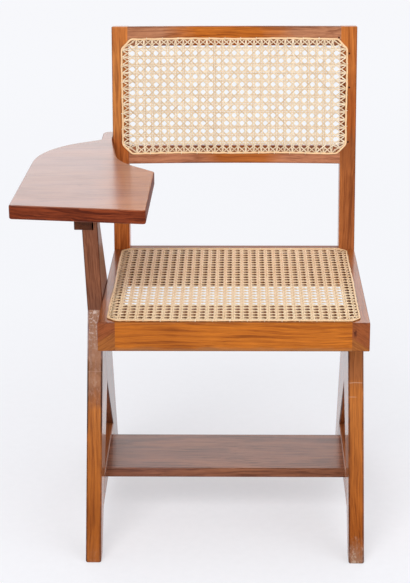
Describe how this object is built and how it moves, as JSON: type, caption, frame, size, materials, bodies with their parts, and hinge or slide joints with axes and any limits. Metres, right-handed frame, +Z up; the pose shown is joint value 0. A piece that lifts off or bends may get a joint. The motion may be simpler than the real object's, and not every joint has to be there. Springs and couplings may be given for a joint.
{
  "type": "writing chair",
  "caption": "Teak chair with caned seat and back on V-shaped leg frames, with a book shelf below and a fixed writing tablet on the sitter's right",
  "frame": {"origin": "on the floor, at the middle of the chair's outer box", "axes": "+Z up, the sitter faces -Y, the tablet is on the -X side (the sitter's right)"},
  "size_m": [0.6078, 0.5938, 0.823],
  "materials": {
    "teak": "oiled and lacquered",
    "dowel_wood": "raw",
    "cane": "natural rattan skin",
    "screw_steel": "plain"
  },
  "bodies": {
    "root": {"seat_left_rail": "teak", "seat_right_rail": "teak", "seat_front_rail": "teak", "seat_rear_rail": "teak", "seat_cross_rail": "teak", "back_left_stile": "teak", "back_right_stile": "teak", "back_top_rail": "teak", "back_bottom_rail": "teak", "left_front_leg": "teak", "left_rear_leg": "teak", "right_front_leg": "teak", "right_rear_leg": "teak", "left_stretcher": "teak", "right_stretcher": "teak", "book_shelf": "teak", "writing_tablet": "teak", "tablet_bearer": "teak", "left_frame_plugs": "teak", "tongue_plugs": "teak", "bearer_plugs": "teak", "right_frame_dowels": "dowel_wood", "leg_joint_dowels": "dowel_wood", "stretcher_dowels": "dowel_wood", "shelf_dowels": "dowel_wood", "bearer_dowel": "dowel_wood", "seat_cane_pegs": "dowel_wood", "back_cane_pegs": "dowel_wood", "seat_cane": "cane", "seat_cane_binding": "cane", "back_cane": "cane", "back_cane_binding": "cane", "left_frame_screws": "screw_steel", "tongue_screws": "screw_steel", "bearer_screws": "screw_steel"}
  },
  "joints": []
}
